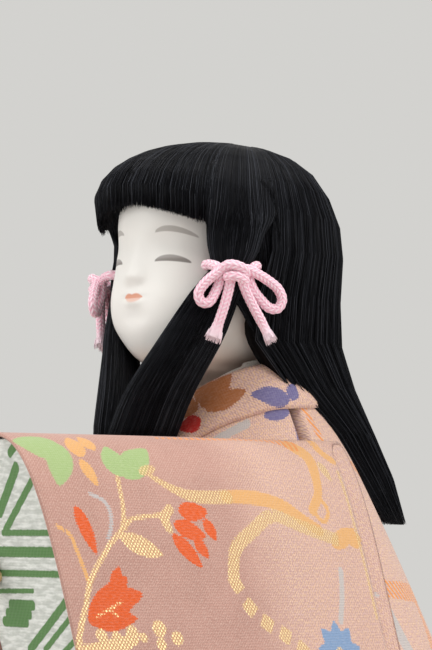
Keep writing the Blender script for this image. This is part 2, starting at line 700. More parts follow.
# [height, out, forward, width, thickness]
LOCK_STATIONS = [
    [14, 17.2, 6.8, 13.5, 2.8], [9, 17.0, 8.1, 12.0, 3.0], [4, 16.5, 8.9, 10.2, 2.8],
    [0, 16.5, 9.4, 8.6, 2.6], [-BOW_DROP, BOW_OUT, BOW_FORWARD, WAIST_WIDTH, WAIST_THICKNESS],
    [-7.3, 14.2, 11.6, 8.6, 3.6], [-15.2, 11.2, 14.6, 11.0, 4.6], [-24.4, 6.3, 17.7, 12.0, 5.8],
    [-33, 3.5, 19.8, 12.0, 5.6],
]
# The right lock lies a little flatter and further back than the left one
FAR_INWARD = 0.5
FAR_BACK = 2.0


def lock_point(angle, share, lift=0.0):
    """A point on a lock: an angle round its section, and a share from its root to its tip."""
    angle, share, lift = alike(angle, share, lift)
    place = share * (len(LOCK_STATIONS) - 1)
    height, out, forward, width, thickness = (
        through([(k, s[i]) for k, s in enumerate(LOCK_STATIONS)], place) for i in range(5))
    middle = np.stack([out, -forward, height], axis=-1)
    backward = (width / 2 + lift) * rounded(np.cos(angle), 0.8)
    outward = (thickness / 2 + lift) * rounded(np.sin(angle), 0.8)
    return middle + BACKWARD * backward[..., None] + OUTWARD * outward[..., None]


def on_side(points, side):
    """Points of the left side, or their mirror image, which near the tie is drawn in and back."""
    points = points.copy()
    if side < 0:
        near_tie = np.clip((12 - points[..., 2]) / 8, 0, 1) * np.clip((points[..., 2] + 31) / 14, 0, 1)
        points[..., 0] -= FAR_INWARD * near_tie
        points[..., 1] += FAR_BACK * near_tie
    points[..., 0] *= side
    return points


LOCK_BODY_START = 0.25
LOCK_ROWS = 60
LOCK_COLUMNS = 40
LOCK_TIP = -33
LOCK_THREADS = 1430
INNER_THREADS = 800
TEMPLE_TURN = 70
TEMPLE_STEPS = 8
LOCK_STEPS = 15
THREAD_STEPS = TEMPLE_STEPS + LOCK_STEPS


def temple_threads(turn, angle, tip, lift):
    """Threads from the whorl over the temple into the lock, each with its place round the lock's section."""
    places = np.linspace(0, 1, 400)
    drops = lock_point(0.0, places)[:, 2]
    crown_shares = np.linspace(0, 0.86, TEMPLE_STEPS)
    crown_heights = CROWN_RISE * crown_rise(TEMPLE_TURN, crown_shares)
    heights = np.concatenate([np.repeat(crown_heights[None], len(turn), axis=0),
                              np.linspace(crown_heights[-1] - 1.5, tip, LOCK_STEPS).T], axis=1)
    shares = np.concatenate([crown_shares, np.full(LOCK_STEPS, 2.0)])[None, :]
    over = crown_point(turn, np.where(shares < 1, shares, share_at(TEMPLE_TURN, heights)), lift)
    down = lock_point(angle, np.interp(-heights, -drops, places), lift)
    return over + (down - over) * eased(np.clip((9 - heights) / 7, 0, 1))[..., None]


def temple_places(root):
    """The turn on the crown and the angle in the lock of threads, by their share back from the fringe."""
    return FRINGE_TURN - 1.5 + (SIDE_START - FRINGE_TURN + 3) * root, math.pi * (0.97 - 0.94 * root)


def uneven_lift(count):
    return 0.12 - scattered(count) ** 1.5 * 0.5


for name, side in SIDES:
    angles = np.linspace(0, math.tau, LOCK_COLUMNS, endpoint=False)
    shares = np.linspace(LOCK_BODY_START, 0.985, LOCK_ROWS)[:, None]
    rings = lock_point(angles, shares, -0.25 - 0.5 * np.clip(1 - (shares - LOCK_BODY_START) / 0.1, 0, 1))
    middles = rings.mean(axis=1, keepdims=True).repeat(LOCK_COLUMNS, axis=1)
    rings = on_side(np.concatenate([middles[:1], rings, middles[-1:]]), side)
    lock_faces = grid_faces(LOCK_ROWS + 2, LOCK_COLUMNS, closed=True)
    lock = piece(f"side_lock_body_{name}", in_head(rings), lock_faces)
    row, column = np.divmod(np.arange(rings.size // 3), LOCK_COLUMNS)
    map_points(lock, "threads", np.stack([column * 0.55, row * 0.9], axis=-1))
    merged(lock, 0.00001)
    fit(lock, f"side_lock_{name}", "head", packed_finish)

    temple_turns, temple_angles = temple_places(np.linspace(-0.06, 1.06, 36)[:, None])
    under = np.interp(np.arange(THREAD_STEPS), [0, 9, 15, 22], [-1.5, -1.8, -1.4, -0.9])[None, :]
    tie_heights = np.full(len(temple_turns), -1.0)
    temple_grids = [temple_threads(temple_turns, temple_angles, tie_heights, lift) for lift in (-0.4, under)]
    temple_grids = [on_side(grid, side).swapaxes(0, 1) for grid in temple_grids]
    temple = packed_body(f"hair_temple_body_{name}", *temple_grids, temple_turns.T * 0.36,
                         np.arange(THREAD_STEPS)[:, None] * 1.2)
    fit(temple, "hair_fringe", "head", packed_finish)

    turn, angle = temple_places(scattered(LOCK_THREADS))
    turn = turn + strayed(LOCK_THREADS, 0.3)
    angle = angle + strayed(LOCK_THREADS, 0.12) * np.sin(np.linspace(0, 5, THREAD_STEPS))
    tip = LOCK_TIP * (1 - np.abs(fray.normal(0, 0.012, LOCK_THREADS)))
    outer = temple_threads(turn, angle, tip, uneven_lift(LOCK_THREADS))
    around = math.pi + math.pi * scattered(INNER_THREADS)
    share = 0.3 + (0.7 - np.abs(strayed(INNER_THREADS, 0.012))) * np.linspace(0, 1, 16)
    drift = strayed(INNER_THREADS, 0.12) * np.sin(share * 5 + scattered(INNER_THREADS, 0, 6))
    inner = lock_point(around + drift, share, uneven_lift(INNER_THREADS))
    strands(f"side_lock_threads_{name}", on_side(outer, side), f"side_lock_{name}")
    strands(f"side_lock_inner_threads_{name}", on_side(inner, side), f"side_lock_{name}")

# Hair that comes down under each tie from beneath the temple and joins the front edge of the long hair.
# [height, front edge across, front edge back, rear edge across, rear edge back]
UNDER_TIE = [
    [12, 15.5, -9.0, 17.7, -2.0], [9, 15.4, -9.6, 18.5, -2.0], [6, 15.4, -10.0, 19.0, -1.8],
    [0, 15.0, -10.5, 19.1, -1.2], [-6, 14.6, -10.0, 18.3, -1.4], [-9, 15.6, -7.8, 17.6, -1.6],
    [-12, 16.3, -6.2, 17.2, -1.6], [-15, 16.7, -3.9, 16.8, -1.0], [-20, 16.3, 1.5, 16.1, 3.4],
    [-26, 15.4, 8.2, 15.2, 10.6],
]
UNDER_THREADS = 420


def under_tie(share, height, lift=0.0):
    """A point of this hair, from its front edge at share 0 to its rear edge at share 1."""
    front_x, front_y, rear_x, rear_y = read_off(UNDER_TIE, height)
    x = front_x + (rear_x - front_x) * share + OUTWARD[0] * lift
    y = front_y + (rear_y - front_y) * share + OUTWARD[1] * lift
    return np.stack(np.broadcast_arrays(x, y, height), axis=-1)


for name, side in SIDES:
    fill_shares = np.linspace(0, 1, 14)[None, :]
    fill_heights = np.linspace(11.5, -17.5, 34)[:, None]
    fill_grids = [on_side(under_tie(fill_shares, fill_heights, lift), side) for lift in (0, -1.1)]
    fill = packed_body(f"hair_under_tie_body_{name}", *fill_grids, fill_shares * 5, -fill_heights * 0.9)
    fit(fill, "hair_back", "head", packed_finish)
    fill_root = scattered(UNDER_THREADS)
    fill_drop = 12 - np.linspace(0, 30.5, 16) + strayed(UNDER_THREADS, 0.5)
    stray = 0.05 * np.sin(fill_drop * 0.2 + scattered(UNDER_THREADS, 0, 6))
    hanging = under_tie(fill_root + stray, fill_drop, 0.15 - scattered(UNDER_THREADS, 0, 0.5))
    strands(f"hair_under_tie_threads_{name}", on_side(hanging, side), "hair_back")

# Cord bows
# A round braided silk cord, tied round each lock in a bow. Its cut ends are teased out into short brushes.
CORD = 1.8
BAND_OUT = CORD / 2 + 0.3
BAND_HALF = WAIST_WIDTH / 2 + BAND_OUT
BAND_BACK = -WAIST_THICKNESS - BAND_OUT
# Near and far halves of the bow in cord diameters: [backward, up, outward] from the face of the lock
FRONT_HALF = [
    [-1.9, -6.9, 0.7], [-1.4, -5.4, 0.95], [-0.9, -3.8, 1.2], [-0.5, -2.2, 1.35], [-0.35, -0.9, 1.5],
    [-0.7, -0.35, 1.6], [-1.6, -0.8, 1.4], [-2.8, -1.8, 1.2], [-3.4, -2.8, 1.1], [-3.1, -3.6, 1.05],
    [-2.4, -3.6, 1.05], [-1.8, -2.7, 1.0], [-1.3, -1.4, 0.9], [-1.5, -0.3, 0.7],
]
REAR_HALF = [
    [1.5, -1.2, 0.8], [1.9, -2.4, 0.85], [2.7, -3.4, 0.75], [3.5, -4.1, 0.65], [4.3, -4.1, 0.6],
    [4.7, -3.3, 0.6], [4.3, -2.3, 0.75], [3.3, -1.5, 1.0], [2.0, -0.8, 1.4], [1.0, -0.5, 1.6],
    [0.7, -1.3, 1.6], [1.1, -2.5, 1.4], [1.8, -3.9, 1.2], [2.7, -5.5, 0.95], [3.5, -7.0, 0.7],
]
BAND = [
    [-BAND_HALF + CORD / 3, 0.1, -0.3], [-BAND_HALF, 0.1, -WAIST_THICKNESS / 2],
    [-BAND_HALF * 0.71, 0, BAND_BACK * 0.88], [0, 0, BAND_BACK], [BAND_HALF * 0.71, 0, BAND_BACK * 0.88],
    [BAND_HALF, 0, -WAIST_THICKNESS / 2], [BAND_HALF - CORD / 3, -0.3, -0.3],
]
# The turn of cord that hides the crossing, in cord diameters
KNOT = [
    [-1.1, -0.4, 0.8], [-1.0, -0.3, 1.6], [-0.6, -0.1, 2.15], [0.1, -0.2, 2.35], [0.8, -0.5, 2.1],
    [1.1, -0.9, 1.4], [0.7, -1.0, 0.8], [-0.3, -1.1, 0.9], [-0.7, -1.2, 1.6], [-0.3, -1.15, 2.2],
    [0.3, -1.25, 2.3], [0.9, -1.55, 1.8], [1.0, -1.8, 1.0],
]


def at_tie(points):
    """Points given as backward, up and outward from the face of the left lock, in the head's frame."""
    lock_face = np.array([BOW_OUT, -BOW_FORWARD, -BOW_DROP]) + OUTWARD * WAIST_THICKNESS / 2
    return lock_face + points @ np.array([BACKWARD, [0, 0, 1], OUTWARD])


bow_route = at_tie(np.concatenate([np.array(FRONT_HALF) * CORD, np.array(BAND), np.array(REAR_HALF) * CORD]))
knot_route = at_tie(np.array(KNOT) * CORD)


def lengths(path):
    """The run along a path at each of its points."""
    return np.concatenate([[0], np.cumsum(np.linalg.norm(np.diff(path, axis=0), axis=1))])


def even_curve(points, spacing):
    """A smooth curve through points, cut into even steps."""
    gaps = np.linalg.norm(np.diff(points, axis=0), axis=1)
    at = np.concatenate([[0], np.cumsum(np.sqrt(gaps))])
    fine = np.linspace(0, at[-1], 3000)
    curve = np.stack([through(list(zip(at, points[:, i])), fine) for i in range(3)], axis=-1)
    run = lengths(curve)
    even = np.linspace(0, run[-1], int(run[-1] / spacing) + 1)
    return np.stack([np.interp(even, run, curve[:, i]) for i in range(3)], axis=-1), run[-1]


def carried_frames(path):
    """Two directions across a path that turn as little as they can along it."""
    along = np.gradient(path, axis=0)
    along /= np.linalg.norm(along, axis=1)[:, None]
    first = np.cross(along[0], [0.2, 0.3, 0.9])
    first /= np.linalg.norm(first)
    across = [first]
    for direction in along[1:]:
        kept = across[-1] - direction * np.dot(across[-1], direction)
        across.append(kept / np.linalg.norm(kept))
    across = np.array(across)
    return across, np.cross(along, across)


# The braid's strands meet in four rows of slanted stitches, drawn on the cord's own UV map: across its girth,
# and along it in mm
STITCH_ROWS = 4
STITCH_PITCH = 0.8
STITCH_SLANT = 0.85
cord_finish = Finish("braided_pink_silk")
cord_u, cord_v, _ = cord_finish.split(cord_finish.node("ShaderNodeTexCoord", out="UV"))
teased = cord_finish.attribute("teased")
slant = ((cord_u * STITCH_ROWS).math("FRACT") * 2 - 1).math("ABSOLUTE")
strand = ((cord_v / STITCH_PITCH + slant * STITCH_SLANT) * math.tau).sine()
between_rows = slant.step(0.0, 0.22) * (1 - slant.step(0.8, 1.0))
fine_silk = cord_finish.grain(9, 2)
plait = (strand * 0.5 + between_rows - 0.3) * (1 - teased) + fine_silk * teased
cord_tint = cord_finish.blend(plait.step(-0.9, 0.7), (0.84, 0.36, 0.48), (0.94, 0.58, 0.67))
cord_tint = cord_finish.blend(plait.step(0.5, 1.2) * 0.8, cord_tint, (0.98, 0.82, 0.87))
cord_tint = cord_finish.blend(teased * 0.75, cord_tint, (0.97, 0.84, 0.88))
cord_finish.set(base_color=cord_tint, roughness=0.55, sheen_weight=0.25, specular_ior_level=0.4,
                normal=cord_finish.raised(plait, 0.1, 0.6))
CORD_SIDES = 36
CORD_STEP = 0.14
FLARE_LENGTH = 3.2
POINT_LENGTH = 0.7
BRUSH_FIBRES = 130


def braided(name, path, teased_ends=True):
    """A round braid along a path, whose ends open out into brushes or close in a point."""
    across, over = carried_frames(path)
    run = np.arange(len(path)) * CORD_STEP
    angle = np.linspace(0, math.tau, CORD_SIDES, endpoint=False)
    lean = np.abs((angle / math.tau * STITCH_ROWS) % 1 * 2 - 1)
    weave = 0.5 + 0.5 * np.sin(math.tau * (run[:, None] / STITCH_PITCH + STITCH_SLANT * lean))
    from_end = np.minimum(run, run[-1] - run)[:, None]
    flare = np.clip(1 - from_end / FLARE_LENGTH, 0, 1) * teased_ends
    brush = 0.5 + 0.5 * np.cos(14 * angle + 2 * np.sin(3 * angle))
    radius = CORD / 2 * (0.96 + 0.62 * flare ** 1.6)
    radius = radius + 0.08 * (weave - 0.5) * (1 - flare) - 0.12 * flare * brush
    if not teased_ends:
        radius = radius * np.clip(from_end / POINT_LENGTH, 0.05, 1) ** 0.4
    sideways, upward = np.cos(angle)[None, :, None], ((1 - 0.42 * flare) * np.sin(angle))[..., None]
    ring = path[:, None] + radius[..., None] * (sideways * across[:, None] + upward * over[:, None])
    ends = path[[0, -1], None].repeat(CORD_SIDES, axis=1)
    rings = np.concatenate([ends[:1], ring, ends[1:]])
    braid = piece(name, in_head(rings), grid_faces(len(rings), CORD_SIDES, closed=True))
    row, column = np.divmod(np.arange((len(rings) - 1) * CORD_SIDES), CORD_SIDES)
    corners = np.stack([np.stack([(column + right) / CORD_SIDES, (row + down) * CORD_STEP], axis=-1)
                        for down, right in ((0, 0), (0, 1), (1, 1), (1, 0))], axis=1)
    braid.data.uv_layers.new(name="braid").data.foreach_set("uv", corners.ravel())
    tease = np.concatenate([flare[:1, 0], flare[:, 0], flare[-1:, 0]])
    store(braid, "teased", np.repeat(tease, CORD_SIDES))
    merged(braid, 0.000002)
    return braid, across, over


for name, side in SIDES:
    path, cord_length = even_curve(on_side(bow_route, side), CORD_STEP)
    bow, across, over = braided(f"bow_cord_{name}", path)
    knot, _, _ = braided(f"bow_knot_{name}", even_curve(on_side(knot_route, side), CORD_STEP)[0], False)
    fit(bow, f"bow_{name}", "head", cord_finish)
    fit(knot, f"bow_{name}", "head", cord_finish)
    fibre_paths = []
    for end, inner in ((0, 14), (-1, -15)):
        tip = path[end]
        away = (tip - path[inner]) / np.linalg.norm(tip - path[inner])
        spread = fray.uniform(-1, 1, (BRUSH_FIBRES, 2))
        aside, above = spread[:, :1] * across[end], spread[:, 1:] * over[end]
        root = tip - away * 1.2 + aside * 1.15 + above * 0.7
        reach = root + away * (1.5 + scattered(BRUSH_FIBRES, 0, 0.7)) + aside * 0.25 + above * 0.2
        fibre_paths.append(np.stack([root, (root + reach) / 2, reach], axis=1))
    fibres = threads(f"bow_brush_{name}", np.concatenate(fibre_paths), 0.07)
    store(fibres, "teased", np.ones(len(fibres.data.vertices)))
    fibres.data.uv_layers.new(name="braid")
    fibres.data.materials.append(cord_finish.material)
    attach(fibres, "head")
    in_head(path[0])
    in_head(path[::4])

# Robe
# Brocade cut to panels. Each edge is pushed into a groove of the core with a thin blade and a little paste,
# so the seams lie as fine creases with no stitches.
SIDE_RADII = [(0, 65), (30, 56), (76, 34.5), (105, 22), (124.5, 12.7)]
BACK_RADII = [(0, 60), (30, 53), (76, 36), (105, 22.8), (124.5, 11.8)]
FRONT_RADII = [(0, 64), (30, 59), (76, 33), (105, 17), (124.5, 9.6)]
BASE_SHEET = 0.6
NAPE = 124.5
HEM_SEAM = 9 / NAPE
SIDE_SEAM = 78
FRONT_SEAM = 190
CLOTH_LIFT = 0.9
CLOTH_THICKNESS = 0.6


def robe_at(turn, height):
    """A point of the robe's core: the turn runs from the middle of the back towards the doll's right."""
    angle = np.radians(turn)
    depth = np.where(np.cos(angle) > 0, through(BACK_RADII, height), through(FRONT_RADII, height))
    across = -through(SIDE_RADII, height) * np.sin(angle)
    return np.stack(np.broadcast_arrays(across, depth * np.cos(angle), height), axis=-1)


def neckline(turn):
    wrapped = (np.asarray(turn, float) + 180) % 360 - 180
    return NAPE - 13 * (np.abs(wrapped) / 180) ** 5


def robe(turn, share):
    return robe_at(turn, BASE_SHEET + (neckline(turn) - BASE_SHEET) * share)


def lifted(surface, u, v, lift):
    """A point lifted off a surface along its outward side, in the doll's frame in millimetres."""
    small_u, small_v = 0.01, 0.01 / 90
    to_u = surface(u + small_u, v) - surface(u - small_u, v)
    to_v = surface(u, v + small_v) - surface(u, v - small_v)
    outward = np.cross(to_u / small_u, to_v / small_v)
    outward /= np.linalg.norm(outward, axis=-1)[..., None]
    return surface(u, v) + outward * np.asarray(lift)[..., None]


def cloth(name, points, uv, thickness=CLOTH_THICKNESS, closed=False):
    """A sheet from a grid of outer points, in millimetres from the neck's axis, with its thickness behind."""
    rows, columns = points.shape[:2]
    thing = piece(name, (points + NECK) * MM, grid_faces(rows, columns, closed=closed))
    map_points(thing, "cloth", uv)
    if thickness:
        select_only(thing)
        thick = thing.modifiers.new("thickness", "SOLIDIFY")
        thick.thickness = thickness * MM
        thick.offset = -1
        bpy.ops.object.modifier_apply(modifier=thick.name)
    return thing


# Figures of the brocade. Each is a signed distance in millimetres on the flat cloth, less than 0 inside it
FIGURES = ("gold", "amber", "dashes", "orange", "leaf", "blue", "violet", "rust", "red", "silver")
FAR_OUT = 99.0
# How far from a figure's edge its distance is kept, in millimetres
EDGE_REACH = 4


def turned(at, place, degrees):
    angle = math.radians(degrees)
    x, y = at[..., 0] - place[0], at[..., 1] - place[1]
    return x * math.cos(angle) + y * math.sin(angle), y * math.cos(angle) - x * math.sin(angle)


def petal(at, place, length, width, degrees):
    """A leaf or petal from its foot at a place, pointing along its angle."""
    x, y = turned(at, place, degrees)
    share = np.clip(x / length, 0, 1)
    half = width / 2 * np.sin(math.pi * share ** 0.8) ** 0.75
    return np.maximum(np.abs(y) - half, np.abs(x - length / 2) - length / 2)


def line_through(points, spacing):
    """Even points of a curve on the flat cloth."""
    return even_curve(np.array([[x, y, 0] for x, y in points], float), spacing)[0][:, :2]


def ribbon(at, points, width):
    """A curved line of even or tapering width."""
    path = line_through(points, 1.2)
    width = np.atleast_1d(width)
    wide = np.interp(np.linspace(0, 1, len(path)), np.linspace(0, 1, len(width)), width)
    best = np.full(at.shape[:-1], FAR_OUT)
    for a, b, w in zip(path[:-1], path[1:], wide):
        along = b - a
        t = np.clip(((at - a) @ along) / (along @ along), 0, 1)
        best = np.minimum(best, np.linalg.norm(at - a - t[..., None] * along, axis=-1) - w / 2)
    return best


def blossom(at, place, radius, degrees, petals=5, slim=0.62):
    """Petals round a place, with a bare line between them."""
    best = np.full(at.shape[:-1], FAR_OUT)
    width = radius * slim * 2 * math.tan(math.pi / petals) * 0.9
    for angle in (degrees + 360 / petals * k for k in range(petals)):
        out = 0.12 * radius * np.array([math.cos(math.radians(angle)), math.sin(math.radians(angle))])
        foot = np.asarray(place) + out
        best = np.minimum(best, petal(at, foot, radius * 0.88, width, angle))
    return best


def spot(at, place, radius):
    return np.hypot(at[..., 0] - place[0], at[..., 1] - place[1]) - radius


def block(at, place, size, degrees):
    """A square of the stitched scroll."""
    x, y = turned(at, place, degrees)
    return np.maximum(np.abs(x), np.abs(y)) - size / 2


SHAPES = {"petal": petal, "ribbon": ribbon, "blossom": blossom, "spot": spot, "block": block}


def listed(figures):
    """A list of (kind, shape, sizes) from rows of sizes under each kind and shape."""
    return [(*heading.split(), *sizes) for heading, rows in figures.items() for sizes in rows]


def repeated(figures, offsets):
    """The same figures again at other places of the cloth."""
    result = []
    for dx, dy, flip in offsets:
        for kind, shape, first, *sizes in figures:
            if shape == "ribbon":
                moved = [(flip * x + dx, y + dy) for x, y in first]
            else:
                moved = (flip * first[0] + dx, first[1] + dy)
                turn = {"petal": 2, "blossom": 1, "block": 1}.get(shape)
                if turn is not None and flip < 0 and len(sizes) > turn:
                    sizes = [*sizes[:turn], 180 - sizes[turn], *sizes[turn + 1:]]
            result.append((kind, shape, moved, *sizes))
    return result


def figured(thing, uv, figures, kinds=FIGURES):
    """Stores how far each point of a cloth is from the edge of every kind of figure."""
    at = uv.reshape(-1, 2)
    found = {kind: np.full(len(at), FAR_OUT) for kind in kinds}
    for kind, shape, *sizes in figures:
        found[kind] = np.minimum(found[kind], SHAPES[shape](at, *sizes))
    for kind, distance in found.items():
        store(thing, kind, np.resize(np.clip(distance, -EDGE_REACH, EDGE_REACH), len(thing.data.vertices)))


# One repeat of the woven pattern, 84 mm wide and 96 mm high
REPEAT = listed({
    "gold ribbon": [
        ([(2, 70), (14, 64), (30, 66), (44, 60), (58, 62)], [2.2, 3.4, 2.2]),
        ([(58, 62), (66, 54), (64, 42), (54, 34), (42, 36)], [2.6, 3.8, 2.0]),
        ([(58, 62), (66, 68), (74, 66), (78, 58)], [2.4, 1.6]),
        ([(12, 78), (16, 66), (12, 54), (18, 46)], 0.9), ([(24, 50), (34, 40), (38, 28), (30, 16)], 0.9)],
    "dashes ribbon": [([(10, 92), (28, 90), (46, 88), (62, 80), (66, 68)], [1.2, 2.4])],
    "orange blossom": [((24, 50), 6.2, 20)],
    "orange petal": [
        ((6, 52), 8, 3.2, -75), ((8, 24), 9, 3.6, 40), ((8, 24), 9, 3.4, 5), ((9, 23), 7, 3.0, -30)],
    "leaf petal": [
        ((12, 80), 9, 5.4, 150), ((12, 80), 8, 5.0, 60), ((12, 80), 7.5, 4.6, 260), ((70, 20), 9, 5.4, 30),
        ((70, 20), 8, 5.0, 120)],
    "gold petal": [((30, 16), 9, 3.6, 200)],
    "blue blossom": [((52, 16), 6.6, 0, 9)],
    "gold spot": [((52, 16), 1.3)],
    "violet petal": [((36, 80), 7, 3.6, 170), ((36, 80), 7, 3.6, 215), ((36, 80), 6, 3.2, 80)],
    "rust petal": [((72, 88), 8, 4.0, 220), ((72, 88), 8, 4.0, 265), ((72, 88), 7, 3.6, 175)],
    "silver ribbon": [([(52, 24), (56, 34), (52, 46)], 0.9), ([(2, 40), (12, 38), (16, 30)], 0.8)],
})
OVERALL = repeated(REPEAT, [(x * 84 - 12 * (y % 2), y * 96, 1) for x in (-2, -1, 0, 1) for y in (-1, 0, 1)])


def outside_of(figures, left, right, low, high):
    """The figures that keep outside a part of the cloth, where others are woven."""
    def inside(figure):
        places = figure[2] if figure[1] == "ribbon" else [figure[2]]
        return any(left < x < right and low < y < high for x, y in places)

    return [figure for figure in figures if not inside(figure)]


# Scroll and flowers over the left shoulder, on the back panel's cloth, the front panel's and the collar's
SHOULDER_SCROLL = listed({
    "dashes ribbon": [
        ([(-20.2, 115), (-21.7, 109.5), (-21.9, 106.8), (-20.6, 104.4)], [1.4, 1.6]),
        ([(-20.8, 104.2), (-15, 103.4), (-11, 100)], [1.6, 2.4, 1.2]),
        ([(-35, 80), (-25, 79), (-15, 78.2)], [3.4, 3.8, 3.4]),
        ([(-21.6, 77), (-23.2, 72.4), (-27.8, 66), (-32, 58)], [2.0, 2.8, 2.8])],
    "rust petal": [((-12.5, 101), 5, 2.2, -32)],
    "gold ribbon": [([(-24.2, 102.6), (-27.5, 96), (-31.5, 87)], 0.8)],
    "silver ribbon": [([(-36.2, 76), (-37.6, 70), (-38.4, 64)], [2.4, 3.0, 1.6])],
})
BOTH_SHOULDERS = SHOULDER_SCROLL + repeated(SHOULDER_SCROLL, [(0, 0, -1)])
PANEL_FIGURES = BOTH_SHOULDERS + outside_of(OVERALL, -45, 45, 55, 120)
SHOULDER_SPRAY = listed({
    "violet petal": [((15.8, 114.8), 6.6, 3.4, 187), ((15.4, 117.2), 7, 3.2, 172)],
    "violet ribbon": [([(15.8, 119), (16.3, 115), (17, 112), (17.8, 109)], 0.8)],
    "gold spot": [((15.2, 115.6), 0.9)],
    "silver ribbon": [([(6, 113), (0, 111.5), (-6, 110.5)], 1.8)],
    "dashes ribbon": [([(9, 108), (2, 109.5), (-6, 110)], [1.2, 1.6])],
})
LEFT_FIGURES = repeated(SHOULDER_SPRAY, [(30, 20, 1)]) + outside_of(OVERALL, -30, 90, 90, 160)
COLLAR_FIGURES = listed({
    "violet petal": [((58.6, 1.2), 6.6, 3.4, 163), ((58.9, 1.2), 3.4, 2.4, 60)],
    "rust petal": [
        ((44.6, 4.2), 7.4, 3.6, 27), ((45.0, 3.4), 7.2, 3.2, 6), ((44.4, 5.4), 5.6, 2.8, 48),
        ((44.2, 4.6), 5.2, 3.4, 150)],
    "red petal": [((43.6, 2.4), 4.2, 3.2, 175)],
    "dashes ribbon": [([(70, 5.5), (76, 3), (84, 4.5), (92, 2.5)], 1.3)],
    "leaf petal": [((24, 4), 7, 4.2, 10)],
    "orange petal": [((10, 4), 7, 3.4, 200)],
    "gold ribbon": [([(12, 4), (18, 5), (24, 4)], 0.8)],
})

brocade = Finish("brocade")
cloth_uv = brocade.node("ShaderNodeTexCoord", out="UV")
cloth_u, cloth_v, _ = brocade.split(cloth_uv)
RIB = math.tau / 0.42
slub = brocade.stretched_grain(cloth_uv, (1.3, 3.4, 1))
patch = brocade.stretched_grain(cloth_uv, (0.12, 0.12, 1))
speck = brocade.stretched_grain(cloth_uv, (2.6, 2.2, 1), 1)
glint = brocade.stretched_grain(cloth_uv, (3.1, 2.1, 1), 1)
warp_line = (cloth_u * RIB + slub * 3).sine()
weft_line = (cloth_v * RIB * 0.92 + slub * 4).sine()
twill = ((cloth_u + cloth_v) * RIB * 0.71 + slub * 5).sine()
stitch = (cloth_u * RIB * 0.62).sine() * (cloth_v * RIB * 0.5).sine()
flecked = brocade.attribute("flecked")
light_weft = (twill * 0.25 + warp_line * 0.2 + speck * 1.2 - 0.25).step(0.1, 0.9)
cream = (speck * 1.1 + warp_line * 0.2 - 0.35).step(0, 0.5)
glinting = (glint * 1.5 + twill * 0.12 - 0.68).step(0.06, 0.2) * flecked
ragged = weft_line * 0.09 + warp_line * 0.06 + (slub - 0.5) * 0.35


def inside(kind):
    return 1 - (brocade.attribute(kind) + ragged).step(-0.1, 0.1)


gold, amber, orange, leaf, blue = (inside(kind) for kind in ("gold", "amber", "orange", "leaf", "blue"))
dashes = inside("dashes") * (cloth_u * 4.8 + cloth_v * 1.1).sine().step(-0.35, 0.15)
sparkle = (stitch * 1.1 + speck * 0.9 - 0.3).step(0.1, 0.55)
gold_tint = brocade.blend(sparkle, (0.58, 0.33, 0.12), (0.90, 0.70, 0.36))
surface = brocade.blend(patch.step(0.3, 0.7), (0.405, 0.21, 0.165), (0.45, 0.238, 0.188))
# Each layer of the cloth's colour lies over those before it
for share, tint in (
        (light_weft * 0.6, (0.60, 0.385, 0.31)), (flecked * (0.3 + 0.4 * cream), (0.71, 0.49, 0.45)),
        (glinting * 0.5, (0.86, 0.58, 0.30)), (inside("silver") * 0.8, (0.46, 0.45, 0.44)),
        (leaf * 0.92, (0.31, 0.45, 0.17)), (inside("violet"), (0.14, 0.12, 0.26)),
        (inside("rust"), (0.38, 0.13, 0.04)), (inside("red"), (0.50, 0.02, 0.015)),
        (blue, (0.19, 0.29, 0.46)), (orange, (0.66, 0.085, 0.002)),
        (amber * (0.8 + 0.2 * sparkle), (0.72, 0.38, 0.12)), (dashes, (0.76, 0.28, 0.07)),
        (gold * (0.55 + 0.45 * sparkle), gold_tint), ((slub - 0.35).step(0, 0.5) * 0.1, (0.9, 0.8, 0.7))):
    surface = brocade.blend(share, surface, tint)
metal = (gold * (0.2 + 0.4 * sparkle) + dashes * 0.15 + amber * 0.15).least(0.6)
figure_height = gold + dashes + amber + orange + leaf + blue
cloth_height = warp_line * 0.3 + weft_line * 0.3 + speck * 0.8 + figure_height * 0.6
brocade.set(base_color=surface, metallic=metal, roughness=0.62 - metal * 0.3, sheen_weight=0.2,
            sheen_roughness=0.35, specular_ior_level=0.35, normal=brocade.raised(cloth_height, 0.06, 0.8))

TUCK = 1.5
TUCK_DEPTH = 2.0
SEAM_GAP = 0.35
PANEL_TOP = 1 - 3.7 / NAPE
MID_HEIGHT = 50.0


def tuck_profile(distance):
    """The lift of a panel's outer face, by its distance from the seam in millimetres."""
    risen = np.sin(math.pi / 2 * np.clip(distance / TUCK, 0, 1)) ** 0.6
    return np.where(distance < TUCK, -TUCK_DEPTH + (CLOTH_LIFT + TUCK_DEPTH) * risen, CLOTH_LIFT)


